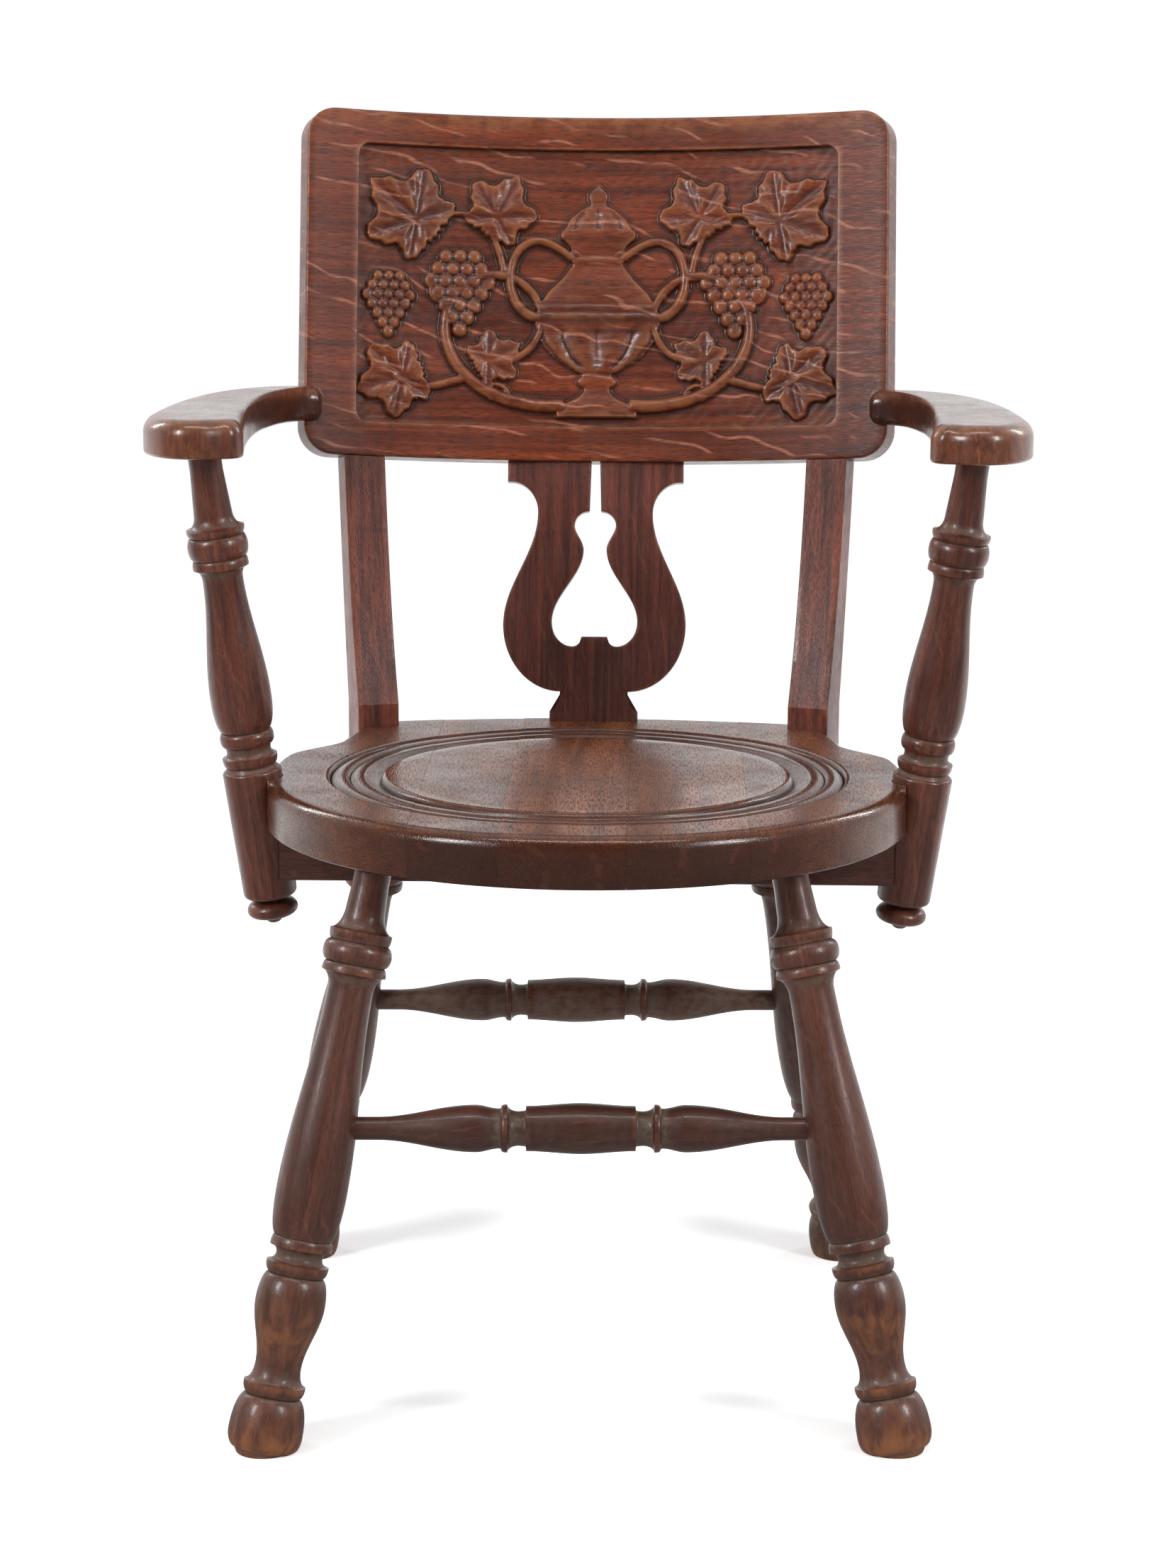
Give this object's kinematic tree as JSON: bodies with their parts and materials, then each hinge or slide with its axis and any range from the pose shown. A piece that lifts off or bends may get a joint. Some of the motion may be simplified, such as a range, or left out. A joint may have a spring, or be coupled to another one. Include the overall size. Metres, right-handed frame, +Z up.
{
  "type": "armchair",
  "caption": "Oak armchair: round moulded seat, splayed turned legs and stretchers, turned arm posts with drop finials, swept arms, lyre splat and curved back panel with a sunk field",
  "frame": {"origin": "on the floor under the middle of the chair's outline box", "axes": "+Z up, -Y is the front that a sitter faces, +X is to the right in a front view"},
  "size_m": [0.645, 0.6218, 0.9362],
  "materials": {
    "worn_oak": "worn varnish, semi-gloss",
    "dark_oak": "dark stained, semi-gloss varnish",
    "red_oak": "red-brown stained, semi-gloss varnish",
    "screw_steel": "dull"
  },
  "bodies": {
    "root": {"arm_post_plug_1": "dark_oak", "arm_post_plug_2": "dark_oak", "arm_post_plug_3": "dark_oak", "arm_post_plug_4": "dark_oak", "arm_post_screw_1": "screw_steel", "arm_post_screw_2": "screw_steel", "arm_post_screw_3": "screw_steel", "arm_post_screw_4": "screw_steel", "arm_screw_1": "screw_steel", "arm_screw_2": "screw_steel", "arm_screw_3": "screw_steel", "arm_screw_4": "screw_steel", "back_left_leg": "worn_oak", "back_panel": "red_oak", "back_post_screw_1": "screw_steel", "back_post_screw_2": "screw_steel", "back_post_screw_3": "screw_steel", "back_post_screw_4": "screw_steel", "back_right_leg": "worn_oak", "back_stretcher": "worn_oak", "front_left_leg": "worn_oak", "front_right_leg": "worn_oak", "front_stretcher": "worn_oak", "left_arm": "red_oak", "left_arm_post": "dark_oak", "left_back_post": "red_oak", "left_post_drop": "dark_oak", "lyre_splat": "red_oak", "rail_screw_1": "screw_steel", "rail_screw_2": "screw_steel", "rail_screw_3": "screw_steel", "right_arm": "red_oak", "right_arm_post": "dark_oak", "right_back_post": "red_oak", "right_post_drop": "dark_oak", "seat_board_inner_left": "worn_oak", "seat_board_inner_right": "worn_oak", "seat_board_left": "worn_oak", "seat_board_middle": "worn_oak", "seat_board_right": "worn_oak", "seat_dowel_1": "worn_oak", "seat_dowel_2": "worn_oak", "seat_dowel_3": "worn_oak", "seat_dowel_4": "worn_oak", "seat_dowel_5": "worn_oak", "seat_dowel_6": "worn_oak", "seat_dowel_7": "worn_oak", "seat_dowel_8": "worn_oak", "seat_rail": "dark_oak"}
  },
  "joints": []
}
